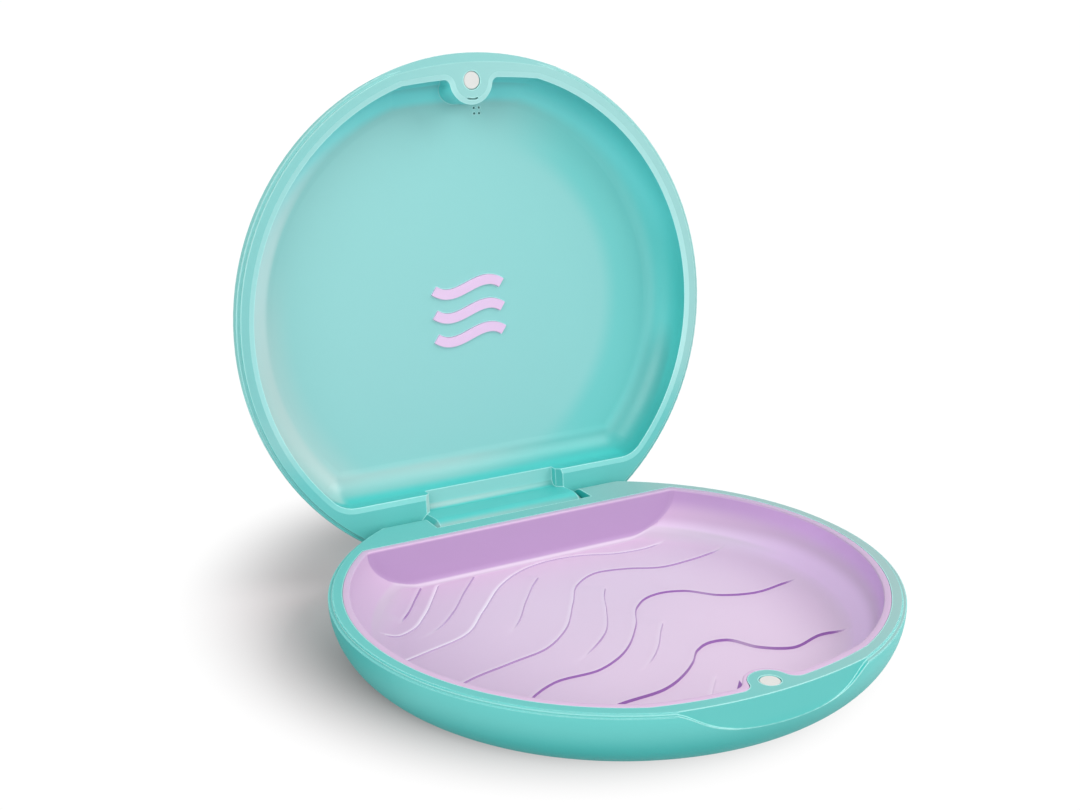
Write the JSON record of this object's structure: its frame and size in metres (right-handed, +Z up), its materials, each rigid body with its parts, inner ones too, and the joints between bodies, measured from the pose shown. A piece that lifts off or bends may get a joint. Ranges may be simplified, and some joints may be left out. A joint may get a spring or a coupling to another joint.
{
  "type": "aligner case",
  "caption": "Slim round hinged case for dental aligners, standing open, with a soft ribbed tray liner, a domed lid on a barrel hinge and a pair of disc magnets.",
  "frame": {"origin": "centre of the base's flat underside", "axes": "+Z up, +Y towards the hinge, +X to the right seen from the front; the magnets are at -Y"},
  "size_m": [0.088, 0.0975, 0.0871],
  "materials": {
    "shell": "satin",
    "liner": "satin",
    "magnet": "satin",
    "pin": "brushed",
    "inlay": "satin"
  },
  "bodies": {
    "root": {"base_shell": "shell", "tray_liner": "liner", "base_magnet": "magnet", "hinge_pin": "pin"},
    "lid": {"lid_shell": "shell", "lid_magnet": "magnet", "lid_inlay": "inlay"}
  },
  "joints": [
    {"name": "lid_hinge", "type": "hinge", "parent": "root", "child": "lid", "pos_m": [0, 0.03615, 0.0077], "axis": [1, 0, 0], "range_deg": [0, 95]}
  ]
}
